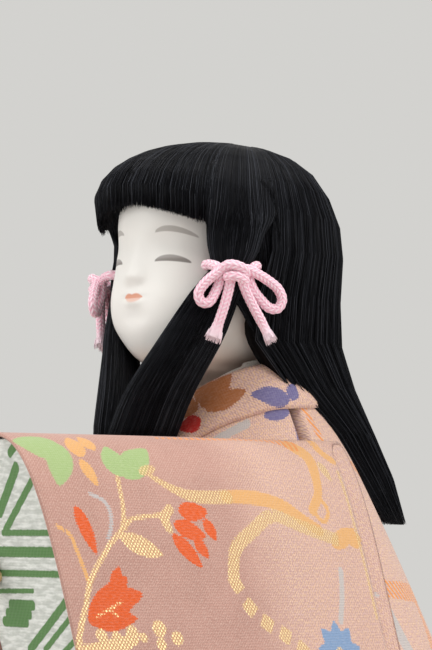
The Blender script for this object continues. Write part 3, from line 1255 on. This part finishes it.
def robe_panel(node, start, stop, columns, rows, figures, shift=(0, 0)):
    """A panel of the robe between two turns. Its UV map is its flat cut in millimetres, plus the shift."""
    turns = np.linspace(start, stop, columns)
    shares = np.linspace(HEM_SEAM, PANEL_TOP, rows)
    turn, share = np.meshgrid(turns, shares)
    girth = lengths(robe_at(turns, np.full(columns, MID_HEIGHT)))[-1]
    spans = through(SIDE_RADII, share * NAPE) / float(through(SIDE_RADII, MID_HEIGHT))
    middle = (start + stop) / 2
    u = (turn - middle) / (stop - start) * girth * spans
    v = lengths(robe(np.full(rows, middle), shares))[:, None] + 0 * u
    edge = girth * spans / 2 - np.abs(u)
    inset = (SEAM_GAP / (girth * spans)) * (stop - start) * np.sign(middle - turn) * (edge < SEAM_GAP)
    points = lifted(robe, turn + inset, share, np.minimum(tuck_profile(edge - 0.2), tuck_profile(v)))
    uv = np.stack([u + shift[0], v + shift[1]], axis=-1)
    panel = cloth(f"{node}_cloth", points, uv)
    figured(panel, uv, figures)
    store(panel, "flecked", np.ones(len(panel.data.vertices)))
    fit(panel, node, "figure", brocade)
    flat = (float(girth * spans.max()) * MM, float(v.max()) * MM)
    area = float((girth * spans.mean()) * v.max()) * MM * MM
    return panel


panels = [
    robe_panel("back_panel", -SIDE_SEAM, SIDE_SEAM, 226, 150, PANEL_FIGURES),
    robe_panel("front_panel_left", -FRONT_SEAM, -SIDE_SEAM, 170, 120, LEFT_FIGURES, (30, 20)),
    robe_panel("front_panel_right", SIDE_SEAM, 360 - FRONT_SEAM, 150, 120, OVERALL, (-40, 10)),
]

# Hem roll
# A padded roll of lining cloth under the robe's edge, closed at the groove above it.
lining_cloth = Finish("lining_cloth")
lining_uv = lining_cloth.node("ShaderNodeTexCoord", out="UV")
lining_u, lining_v, _ = lining_cloth.split(lining_uv)
lining_noise = lining_cloth.stretched_grain(lining_uv, (0.9, 0.9, 1))
satin = lining_cloth.stretched_grain(lining_uv, (0.35, 1.4, 1))
# One repeat of the lining's green lines, 27 mm wide and 31 mm high: [x, y, x, y, width]
GREEN_LINES = [
    (11.5, 29.1, 4.3, 22.3, 2.1), (16.2, 26.8, 5.4, 19.2, 1.5), (18.6, 29, 26.4, 22.6, 2.1),
    (4.5, 18.9, 26.5, 18.9, 1.0), (0.5, 15.9, 26.5, 15.9, 1.7), (0.5, 12.5, 26.5, 12.5, 1.1),
    (4.8, 7.5, 12.4, 7.5, 1.7), (3.4, 6.1, 11, 6.1, 1.7), (2.0, 4.8, 9.6, 4.8, 1.7),
    (24, 8.3, 9.9, 0.5, 1.6), (24.8, 5.8, 15.1, 0.6, 1.1), (25.7, 2.4, 20.7, 0, 1.1),
    (0.5, 9.6, 13, 9.8, 0.8),
]
LINING_REPEAT = [("green", "ribbon", [line[:2], line[2:4]], line[4]) for line in GREEN_LINES]
LINING_PLACES = [(32 + 27 * k, 76 - 31 * j, 1) for k in (-1, 0, 1) for j in (-1, 0, 1, 2)]
LINING_FIGURES = repeated(LINING_REPEAT, LINING_PLACES)
green_share = 1 - (lining_cloth.attribute("green") + (lining_noise - 0.5) * 0.3).step(-0.12, 0.12)
lining_weave = (lining_u * (math.tau / 0.5)).sine() * 0.5 + (lining_v * (math.tau / 0.46)).sine() * 0.5
lining_tint = lining_cloth.blend(satin.step(0.35, 0.7), (0.50, 0.51, 0.46), (0.72, 0.72, 0.67))
lining_tint = lining_cloth.blend(green_share, lining_tint, (0.055, 0.17, 0.022))
lining_cloth.set(base_color=lining_tint, roughness=0.72, sheen_weight=0.2,
                 normal=lining_cloth.raised(lining_weave * 0.6 + lining_noise + green_share * 1.5, 0.06, 0.8))

HEM_PADDING = 1.6
HEM_TUCK = 0.12
HEM_PROFILE = [(0, 0.4), (0.12, 0.66), (0.25, 0.86), (0.5, 1), (0.75, 0.84), (0.9, 0.55), (1, 0)]
hem_turns = np.linspace(-180, 180, 361)[:-1]
hem_turn, hem_row = np.meshgrid(hem_turns, np.linspace(0, 1, 16))
hem_lift = CLOTH_LIFT + HEM_PADDING * through(HEM_PROFILE, hem_row)
hem_tucked = -TUCK_DEPTH + (hem_lift + TUCK_DEPTH) * ((1 - hem_row) / HEM_TUCK) ** 0.5
hem_lift = np.where(1 - hem_row < HEM_TUCK, np.minimum(hem_lift, hem_tucked), hem_lift)
hem_points = lifted(robe, hem_turn, np.minimum(hem_row * HEM_SEAM, HEM_SEAM - 0.2 / NAPE), hem_lift)
hem_girth = lengths(robe_at(hem_turns, np.full(360, 4.0)))[-1]
hem_uv = np.stack([(hem_turn + 180) / 360 * hem_girth, hem_row * 11], axis=-1)
hem = cloth("hem_roll_cloth", hem_points, hem_uv, closed=True)
figured(hem, hem_uv, repeated(LINING_REPEAT, [(27 * k, -8, 1) for k in range(-1, 17)]), ("green",))
fit(hem, "hem_roll", "figure", lining_cloth)

# Collars
# The under-collar is a folded band of white silk pasted inside the neckline. The brocade collar lies over the
# robe's edge and crosses left over right.
COLLAR_WIDTH = 8
COLLAR_DROP = 47
COLLAR_LINE = [
    (-70, 0.008), (0, 0), (70, 0.008), (110, 0.034), (150, 0.13), (170, 0.27), (184, 0.5), (198, 1),
]
COLLAR_TOP_LIFT = 1.9


def collar_height(place):
    return NAPE - COLLAR_WIDTH / 2 - COLLAR_DROP * through(COLLAR_LINE, np.abs(place))


def collar_band(place, share):
    """A point of the collar: a turn along its middle line, and a share across it from its lower edge."""
    height = collar_height(place)
    ahead_height, behind_height = collar_height(place + 0.5), collar_height(place - 0.5)
    along = robe_at(place + 0.5, ahead_height) - robe_at(place - 0.5, behind_height)
    around = np.hypot(along[..., 0], along[..., 1])
    length = np.hypot(around, along[..., 2])
    across = COLLAR_WIDTH * (share - 0.5)
    return robe_at(place - np.degrees(across * along[..., 2] / length / (around / math.radians(1))),
                   height + across * around / length)


collar_places = np.linspace(-194, 182, 420)
place, share = np.meshgrid(collar_places, np.linspace(0, 1, 20))
crossing = eased(np.clip((-place - 148) / 22, 0, 1))
edge = np.minimum(share, 1 - share) * COLLAR_WIDTH
low_edge = np.exp(-(share * COLLAR_WIDTH / 1.1) ** 2)
collar_lift = COLLAR_TOP_LIFT - 0.4 * np.exp(-(edge / 0.35) ** 2) - 0.35 * low_edge + crossing
collar_run = lengths(collar_band(collar_places, np.full(420, 0.5)))
collar_uv = np.stack([collar_run + 0 * place, share * COLLAR_WIDTH], axis=-1)
collar = cloth("collar_band", lifted(collar_band, place, share, collar_lift), collar_uv, 0.7)
figured(collar, collar_uv, COLLAR_FIGURES)
store(collar, "flecked", np.ones(len(collar.data.vertices)))
fit(collar, "collar", "figure", brocade)

white_silk = Finish("white_silk")
silk_u, silk_v, _ = white_silk.split(white_silk.node("ShaderNodeTexCoord", out="UV"))
silk_ribs = (silk_u * (math.tau / 0.55)).sine() * 0.5 + (silk_v * (math.tau / 0.55)).sine() * 0.5
silk_tint = white_silk.blend(silk_ribs.step(-1, 1), (0.72, 0.69, 0.62), (0.82, 0.79, 0.72))
white_silk.set(base_color=silk_tint, roughness=0.55, sheen_weight=0.3,
               normal=white_silk.raised(silk_ribs, 0.05, 0.6))
UNDER_HALF_TURN = 176
UNDER_LOW = -1.6
UNDER_HIGH = 1.4
under_turns = np.linspace(-UNDER_HALF_TURN, UNDER_HALF_TURN, 360)
turn, rise = np.meshgrid(under_turns, np.linspace(UNDER_LOW, UNDER_HIGH, 9))


def neckband(turn, rise):
    return robe_at(turn, neckline(turn) + rise * 90)


under_lift = -0.1 - 0.2 * (rise - UNDER_LOW) - 0.5 * np.exp(-((UNDER_HIGH - rise) / 0.3) ** 2)
under_run = lengths(neckband(under_turns, np.zeros(360)))[-1]
under_uv = np.stack([(turn + UNDER_HALF_TURN) / (2 * UNDER_HALF_TURN) * under_run, rise], axis=-1)
under_points = lifted(neckband, turn, np.minimum(rise, 1.25) / 90, under_lift)
under = cloth("under_collar_band", under_points, under_uv, 1.2)
fit(under, "under_collar", "figure", white_silk)

# Sleeves
# Each sleeve is a sawdust core of its own, covered before it is pinned on. The brocade is turned in over the
# rim of the mouth, and a plate of lining cloth closes the core's front inside it.
SLEEVE_TOP = 110
SLEEVE_BOTTOM = 15
SLEEVE_REACH = 65
SLEEVE_BACK = 10
# The sleeve's outer side at its top, how much further out its foot is, and its width, each at the back and
# at the mouth, in millimetres
TOP_BACK, TOP_MOUTH = 19.5, 50
SPREAD_BACK, SPREAD_MOUTH = 38, 21.5
WIDTH_BACK, WIDTH_MOUTH, WIDTH_FOOT = 13, 31, 19


def sleeve_edge(share, height):
    """The outer side, the width and the distance back of the sleeve's section at a height."""
    depth = np.clip((SLEEVE_TOP - height) / (SLEEVE_TOP - SLEEVE_BOTTOM), 0, 1)
    top = TOP_BACK + (TOP_MOUTH - TOP_BACK) * share + 3 * np.sin(math.pi * share)
    outer = top + (SPREAD_BACK + (SPREAD_MOUTH - SPREAD_BACK) * share) * depth ** 0.88
    width = WIDTH_BACK + (WIDTH_MOUTH + (WIDTH_FOOT - WIDTH_MOUTH) * depth - WIDTH_BACK) * share
    forward = SLEEVE_BACK + (-SLEEVE_REACH + (SLEEVE_TOP - height) * 0.12 - SLEEVE_BACK) * share
    return outer, width, forward


def sleeve(turn, share):
    """A point of the left sleeve's core: a turn round its section and a share from its back to its mouth."""
    angle = np.radians(turn)
    height = SLEEVE_BOTTOM + (SLEEVE_TOP - SLEEVE_BOTTOM) * (0.5 + 0.5 * rounded(np.sin(angle), 0.5))
    outer, width, forward = sleeve_edge(share, height)
    return np.stack([outer - width * (0.5 - 0.5 * rounded(np.cos(angle), 0.5)), forward, height], axis=-1)


SLEEVE_COLUMNS = 380


def even_turns(share):
    """Turns round the sleeve's section at equal distances along it."""
    fine = np.linspace(0, 360, 3200, endpoint=False)
    fine = np.floor(fine / 90) * 90 + (1 - np.cos(np.radians((fine % 90) * 2))) * 45
    ring = sleeve(fine, np.full_like(fine, share))
    run = lengths(ring)
    total = run[-1] + np.linalg.norm(ring[0] - ring[-1])
    return np.interp(np.linspace(0, total, SLEEVE_COLUMNS, endpoint=False), run, fine), total


def clear_of_robe(points, lift):
    """Pushes points of the sleeve that lie inside the robe out to its cloth."""
    x, y, z = points[..., 0], points[..., 1], points[..., 2]
    depth = np.where(y > 0, through(BACK_RADII, z), through(FRONT_RADII, z))
    radius = np.maximum(np.hypot(x, y), 1e-6)
    want = radius / np.maximum(np.hypot(x / through(SIDE_RADII, z), y / depth), 1e-6) + lift
    scale = np.where((radius < want) & (z < NAPE), want / radius, 1)
    return np.stack([x * scale, y * scale, z], axis=-1)


def row_of_blocks(points, size, gap):
    """Squares of gold set along a curved line, each turned to it."""
    path = line_through(points, gap)
    steps = np.gradient(path, axis=0)
    turns = np.degrees(np.arctan2(steps[:, 1], steps[:, 0]))
    return [("gold", "block", tuple(place), size, float(turn)) for place, turn in zip(path, turns)]


# The sleeve's spray, on its cloth flat: from the back seam to the mouth, and up the outer face to the crest
OUTER_FACE = listed({
    "leaf petal": [
        ((63.5, 48.5), 8.8, 6.2, 14), ((63.8, 50), 9.5, 4.8, -66), ((55, 43.4), 6.4, 4.6, 92),
        ((54.4, 43.4), 9.8, 5.0, 142)],
    "amber petal": [
        ((61, 47), 5.4, 3.4, 94), ((57.6, 48.6), 4.4, 2.6, 80), ((61.4, 46.6), 5.4, 2.3, -104),
        ((9, 32), 8.6, 3.4, 157), ((4, 33), 5, 3.0, 175)],
    "gold petal": [
        ((50.8, 44.2), 4.4, 1.9, 162), ((58.6, 32.8), 8.4, 3.5, 201), ((5.6, 48.6), 4.6, 2.0, -115)],
    "gold ribbon": [
        ([(48.4, 43.6), (45.1, 41.6), (41.8, 40.4), (37.9, 40.2), (33.1, 40.4)], [1.0, 2.3, 2.6]),
        ([(55.5, 43.4), (56, 40.6), (56.5, 37.7), (57.9, 34.2), (60.8, 31.8), (64.1, 28.5), (66.9, 25.1),
          (68.3, 22.2), (71.2, 16.4), (72.4, 11)], [0.8, 0.9, 1.2]),
        ([(57.5, 34.2), (55.6, 35.8), (52.2, 36.4), (48, 36.9)], 0.8),
        ([(48.2, 34.4), (48.6, 36.2), (46.9, 37.8)], 1.7), ([(67, 19.8), (64.5, 20.9), (61.4, 22.2)], 0.5),
        ([(64.3, 21), (62.6, 19.8)], 0.45), ([(70, 14.6), (65, 14.8), (60.5, 16.2)], [2.0, 2.8, 1.6]),
        ([(68, 10), (61, 11.6), (55, 10.8), (48, 8.6)], [1.6, 2.4, 1.2]),
        ([(0.9, 46.8), (0.9, 18.8)], 0.7)],
    "amber ribbon": [
        ([(33.5, 40.4), (26.3, 40.4), (19.9, 39.2), (15.9, 37), (11.5, 34.8)], [2.4, 2.8, 2.6, 2.2]),
        ([(70.4, 34.5), (68.4, 33.2), (67.8, 30.3), (67.3, 27.4), (66.9, 25.1)], 0.7),
        ([(12, 38.8), (9.7, 41.2), (7.4, 38.8), (9.7, 36.4), (12, 38.6)], 0.9),
        ([(10.6, 52.4), (7.8, 49.4), (8, 45.1), (9, 41.7), (12, 38.6)], [3.6, 2.8, 2.0, 2.0]),
        ([(6, 55.6), (3.4, 51), (1, 49)], [1.2, 1.8])],
    "orange petal": [
        ((45.2, 37.4), 6.6, 3.4, 178), ((47.0, 35.2), 6.8, 3.3, 198), ((47.8, 33.4), 7.4, 2.9, 230),
        ((39.9, 36.2), 4.0, 2.5, 250), ((43.2, 32.6), 3.8, 2.4, 238), ((44.2, 34.6), 3.4, 2.2, 210),
        ((65.8, 38), 8.4, 2.6, 259), ((68.6, 18.7), 12, 4.4, 141), ((68.4, 19.2), 9.4, 3.6, 178),
        ((67.6, 19.6), 10.4, 3.6, 160), ((61.8, 22.6), 5, 2.8, 170), ((62.6, 24), 4.6, 2.2, 120)],
    "silver ribbon": [
        ([(62.2, 40.1), (59.9, 39), (59.3, 37.1), (60, 34.3), (61.2, 32.5)], 0.7),
        ([(8.3, 27.5), (9.6, 23), (11.6, 18.4)], 1.3)],
    "gold spot": [
        ((66.8, 16.9), 1.1), ((63.9, 16.7), 0.9), ((60.7, 17.3), 1.2), ((58.6, 16.4), 0.8),
        ((55.1, 17.8), 1.4), ((55.3, 15.2), 1.0), ((51.8, 16.2), 1.2), ((13.6, 12.6), 1.3)],
    "dashes ribbon": [
        ([(42, 53.4), (34, 53.6), (27, 54.2), (21.4, 54.6)], [0.9, 1.6, 2.2]),
        ([(21.4, 54.6), (14.5, 54.6), (10.3, 52.4)], [2.2, 3.2, 3.6])],
    "blue blossom": [((13.6, 12.6), 6.0, 10, 9, 0.8)],
})
HIGH_CHAIN = [(8, 33.4), (13, 34.6), (17.5, 35.8), (23.3, 37.2), (29.2, 34.4), (34.5, 31), (36.5, 26.5)]
LOW_CHAIN = [(36.3, 25), (35, 22.4), (33.1, 19.5), (28.7, 17.2), (25.3, 14.9), (21, 11.6), (18, 7)]
OUTER_FACE += row_of_blocks(HIGH_CHAIN, 2.5, 2.35) + row_of_blocks(LOW_CHAIN, 2.7, 3.9)
SLEEVE_FIGURES = OUTER_FACE + repeated(REPEAT, [(0, 46, 1), (-4, 122, 1)])
SLEEVE_ROWS = 150
section = [even_turns(k) for k in np.linspace(0, 1, SLEEVE_ROWS)]
sleeve_turns = np.array([s[0] for s in section])
sleeve_shares = np.linspace(0, 1, SLEEVE_ROWS)[:, None] + 0 * sleeve_turns


def inner_row(row, share):
    """A ring inside the sleeve's cloth, a little off the core."""
    return lifted(sleeve, sleeve_turns[row], np.full(SLEEVE_COLUMNS, share), np.full(SLEEVE_COLUMNS, 0.3))


outer_cloth = lifted(sleeve, sleeve_turns, sleeve_shares, np.full(sleeve_turns.shape, CLOTH_LIFT))
rim_out = outer_cloth[-1]
inner_rim = inner_row(-1, 1.0)
back_step = np.array([0, 1.0, 0])
rounded_rim = [rim_out + (inner_rim - rim_out) * (0.5 - 0.5 * math.cos(a)) - back_step * 0.3 * math.sin(a)
               for a in np.linspace(0, math.pi, 7)[1:]]
inner_return = [inner_rim + back_step * d for d in (0.8, 1.6, 2.4, 3.0)]
inner_coarse = [inner_row(row, share) for row, share in (
    (-8, 0.955), (-30, 0.8), (-60, 0.6), (-90, 0.4), (-120, 0.2), (0, 0.0))]
sleeve_grid = np.concatenate([outer_cloth, rounded_rim, inner_return, inner_coarse, outer_cloth[:1]])
sleeve_grid = clear_of_robe(sleeve_grid, 1.15)
row_steps = np.linalg.norm(np.diff(sleeve_grid, axis=0), axis=2).mean(axis=1)
core_steps = np.linalg.norm(np.diff(sleeve(sleeve_turns, sleeve_shares), axis=0), axis=2)
row_steps[:SLEEVE_ROWS - 1] = core_steps.mean(axis=1)
run_down = np.concatenate([[0], np.cumsum(row_steps)])
girths = np.array([s[1] for s in section])
girths = np.concatenate([girths, np.full(len(sleeve_grid) - SLEEVE_ROWS, girths[-1])])
around = np.linspace(0, 1, SLEEVE_COLUMNS, endpoint=False)[None, :] * girths[:, None]
sleeve_uv = np.stack([run_down[:, None] + 0 * around, around], axis=-1)
PLATE_SHARE = 0.991
for name, side in SIDES:
    wrap = cloth(f"sleeve_cloth_{name}_cover", sleeve_grid * [side, 1, 1], sleeve_uv, 0, closed=True)
    figured(wrap, sleeve_uv, SLEEVE_FIGURES)
    store(wrap, "flecked", (0.75 * np.clip((34 - sleeve_uv[..., 0]) / 12, 0, 1)).ravel())
    merged(wrap, 0.000002)
    fit(wrap, f"sleeve_cloth_{name}", "figure", brocade)

    rise, across = np.meshgrid(np.linspace(-0.995, 0.995, 220), np.linspace(-side, side, 64), indexing="ij")
    plate_height = SLEEVE_BOTTOM + (SLEEVE_TOP - SLEEVE_BOTTOM) * (0.5 + 0.5 * rise)
    plate_outer, plate_width, plate_forward = sleeve_edge(PLATE_SHARE, plate_height)
    across = across * (1 - rise ** 4) ** 0.25 * 0.995
    plate_x = plate_outer - plate_width * (0.5 - 0.5 * across)
    plate_uv = np.stack([plate_x, plate_height], axis=-1)
    plate = np.stack([plate_x * side, plate_forward, plate_height], axis=-1)
    lining = cloth(f"sleeve_lining_{name}_cloth", plate, plate_uv, 0.7)
    figured(lining, plate_uv, LINING_FIGURES, ("green",))
    fit(lining, f"sleeve_lining_{name}", "figure", lining_cloth)

# Hands
# Carved in wood and coated like the face: fingers together, with the thumb beside them.
HAND_AT = np.array([33.7, -63.1, 88])


def limb(joints, side):
    """The balls of a finger or a palm, which taper from joint to joint, in millimetres from the wrist."""
    made = []
    for (a, ra), (b, rb) in zip(joints[:-1], joints[1:]):
        for t in np.linspace(0, 1, 7):
            at = (HAND_AT + np.array(a) * (1 - t) + np.array(b) * t) * np.array([side, 1, 1])
            bpy.ops.mesh.primitive_ico_sphere_add(subdivisions=2, radius=(ra * (1 - t) + rb * t) * MM,
                                                  location=tuple((at + NECK) * MM))
            made.append(bpy.context.object)
    return made


for name, side in SIDES:
    made = []
    for k, reach in enumerate((-10.6, -11.6, -11.2, -9.6)):
        z = 1.9 - k * 1.25
        finger = [((0, -4.2, z), 0.95), ((0.15, -7.4, z - 0.9), 0.82), ((0.5, reach, z - 2.4), 0.6)]
        palm = [((0, 0.1, z * 0.7), 1.25), ((0, -2.2, z * 0.9), 1.35), ((0, -4.6, z), 1.1)]
        made += limb(finger, side) + limb(palm, side)
    made += limb([((-0.2, -1.2, 1.6), 1.1), ((-0.8, -3.6, 3.0), 0.92), ((-1.0, -6.2, 2.5), 0.62)], side)
    select_only(made[0])
    for ball in made:
        ball.select_set(True)
    bpy.ops.object.join()
    hand = bpy.context.object
    hand.name = f"hand_{name}_carved"
    bpy.ops.object.transform_apply(location=True, rotation=True, scale=True)
    blended = hand.modifiers.new("carved", "REMESH")
    blended.mode = "VOXEL"
    blended.voxel_size = 0.00022
    bpy.ops.object.modifier_apply(modifier=blended.name)
    sanded = hand.modifiers.new("sanded", "SMOOTH")
    sanded.factor = 0.6
    sanded.iterations = 8
    bpy.ops.object.modifier_apply(modifier=sanded.name)
    bpy.ops.object.shade_smooth()
    for attribute_name in ("across", "up", "ahead"):
        store(hand, attribute_name, np.zeros(len(hand.data.vertices)))
    fit(hand, f"hand_{name}", "figure", shell_white)

# Cores, pins and base
sawdust = Finish("pressed_sawdust")
flakes = sawdust.grain(0.8, 4)
flake_tint = sawdust.blend(flakes.step(0.3, 0.7), (0.34, 0.22, 0.12), (0.60, 0.44, 0.27))
rough_sawdust = sawdust.raised(flakes + sawdust.grain(0.15, 3), 0.3, 0.8)
sawdust.set(base_color=flake_tint, roughness=0.92, normal=rough_sawdust)
bamboo = Finish("bamboo")
fibre_place = bamboo.node("ShaderNodeVectorMath", {"operation": "MULTIPLY"}, bamboo.place(), (2.4, 2.4, 0.12))
fibre = bamboo.grain(1, 3, fibre_place)
fibre_tint = bamboo.blend(fibre.step(0.3, 0.7), (0.50, 0.33, 0.13), (0.70, 0.52, 0.26))
bamboo.set(base_color=fibre_tint, roughness=0.55, normal=bamboo.raised(fibre, 0.05, 0.6))
felt = Finish("base_felt")
fuzz = felt.grain(1.6, 4)
fuzz_tint = felt.blend(fuzz.step(0.3, 0.7), (0.025, 0.024, 0.027), (0.06, 0.058, 0.064))
felt.set(base_color=fuzz_tint, roughness=0.95, normal=felt.raised(fuzz, 0.2, 0.9), sheen_weight=0.2)
for node, finish in (("body_core", sawdust), ("sleeve_core_left", sawdust), ("sleeve_core_right", sawdust),
                     ("base_sheet", felt), ("neck_stick", bamboo), ("sleeve_pin_left", bamboo),
                     ("sleeve_pin_right", bamboo), ("hand_pin_left", bamboo), ("hand_pin_right", bamboo)):
    for material_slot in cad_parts[node].material_slots:
        material_slot.material = finish.material
